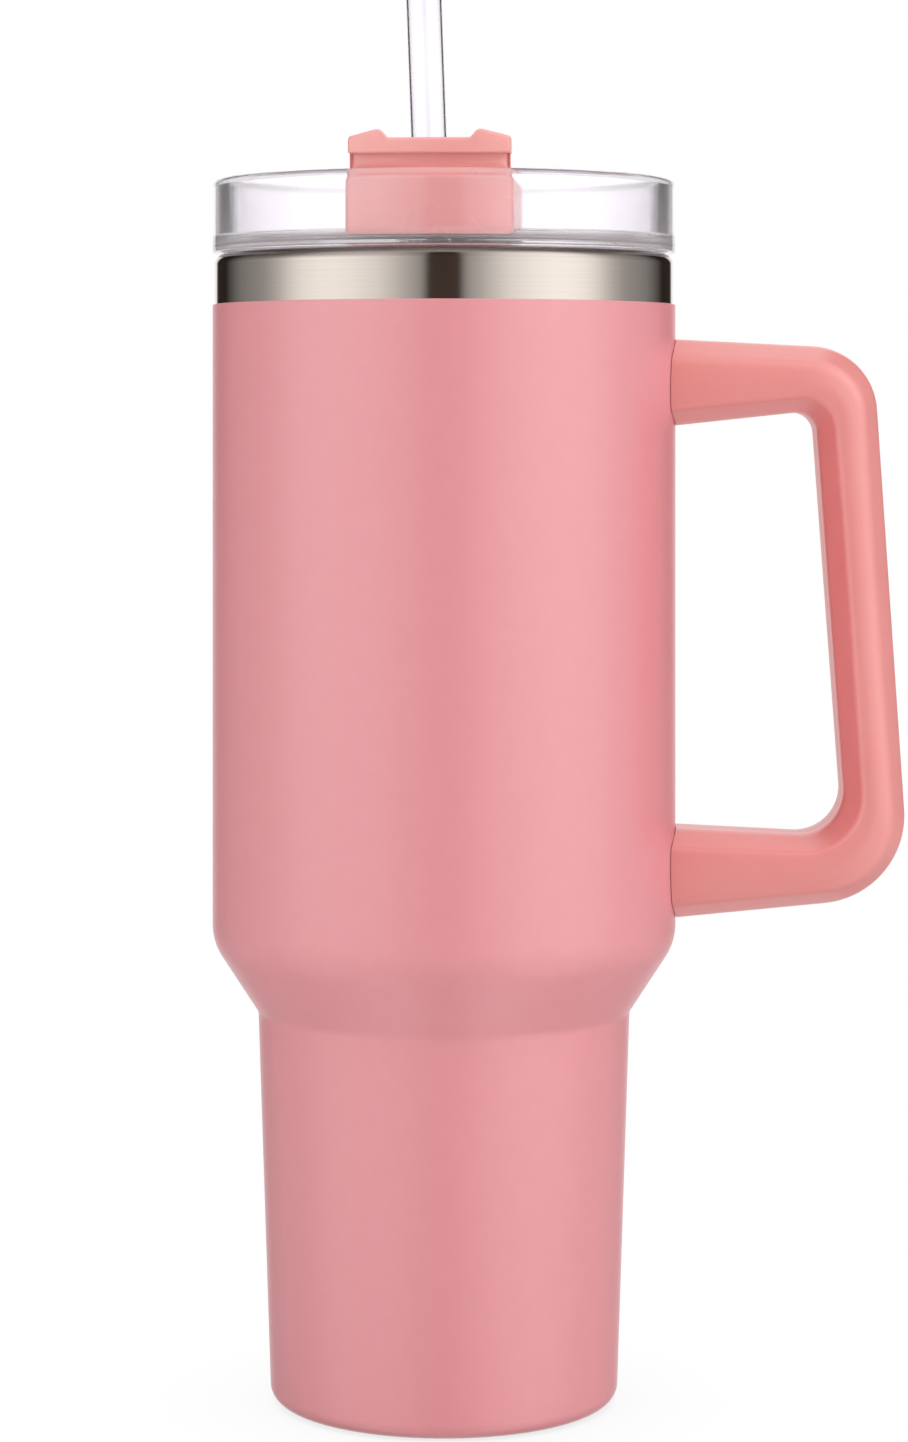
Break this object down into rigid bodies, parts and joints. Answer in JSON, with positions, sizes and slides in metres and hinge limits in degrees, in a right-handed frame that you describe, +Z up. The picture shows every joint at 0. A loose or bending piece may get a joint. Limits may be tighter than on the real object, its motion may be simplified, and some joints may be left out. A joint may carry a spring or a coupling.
{
  "type": "insulated tumbler with lid",
  "caption": "Tall double-wall tumbler with a narrow base, side loop handle, clear push-in lid, turning cover with grip tab, and a straw.",
  "frame": {"origin": "centre of the resting ring under the base, on the table plane, on the vessel's axis", "axes": "+Z up along the vessel's axis, +X towards the side handle, -Y towards the drinking side where the cover's grip tab and the straw are"},
  "size_m": [0.1491, 0.1, 0.3121],
  "materials": {
    "pink_coat": "satin powder coat with a fine grain",
    "bare_steel": "turned and brushed stainless steel",
    "disc_steel": "pressed stainless disc",
    "foil": "thin bright copper-coloured foil",
    "seal_bead": "dark fused bead",
    "getter": "sintered grey pill",
    "handle_pink": "soft-touch moulded plastic",
    "plug_pink": "moulded plastic",
    "screw_steel": "zinc-plated screw",
    "clear_plastic": "clear moulded plastic",
    "disc_clear": "frosted clear plastic",
    "cover_pink": "satin moulded plastic",
    "seal_silicone": "translucent silicone",
    "grommet_silicone": "pink silicone",
    "clip_steel": "spring steel",
    "straw_clear": "clear extruded plastic"
  },
  "bodies": {
    "vessel": {"outer_shell": "bare_steel", "powder_coat": "pink_coat", "inner_liner": "bare_steel", "radiation_foil": "foil", "outer_base": "bare_steel", "vacuum_seal_bead": "seal_bead", "base_disc": "disc_steel", "getter_pill": "getter", "getter_holder": "bare_steel", "upper_bracket": "bare_steel", "lower_bracket": "bare_steel", "handle_front_shell": "handle_pink", "handle_rear_shell": "handle_pink", "handle_screws": "screw_steel", "handle_screw_plugs": "plug_pink"},
    "lid": {"lid_body": "clear_plastic", "lid_seal": "seal_silicone"},
    "cover": {"turning_cover": "cover_pink", "sealing_disc": "disc_clear", "spindle_clip": "clip_steel", "straw_grommet": "grommet_silicone"},
    "straw": {"straw": "straw_clear"}
  },
  "joints": [
    {"name": "lid_lift", "type": "slide", "parent": "vessel", "child": "lid", "axis": [0, 0, 1], "range_m": [0, 0.25]},
    {"name": "cover_turn", "type": "hinge", "parent": "lid", "child": "cover", "pos_m": [0, 0, 0.255], "axis": [0, 0, 1], "range_deg": [0, 60]},
    {"name": "straw_slide", "type": "slide", "parent": "cover", "child": "straw", "axis": [-0.0358, -0.0172, 0.9992], "range_m": [0, 0.27]}
  ]
}
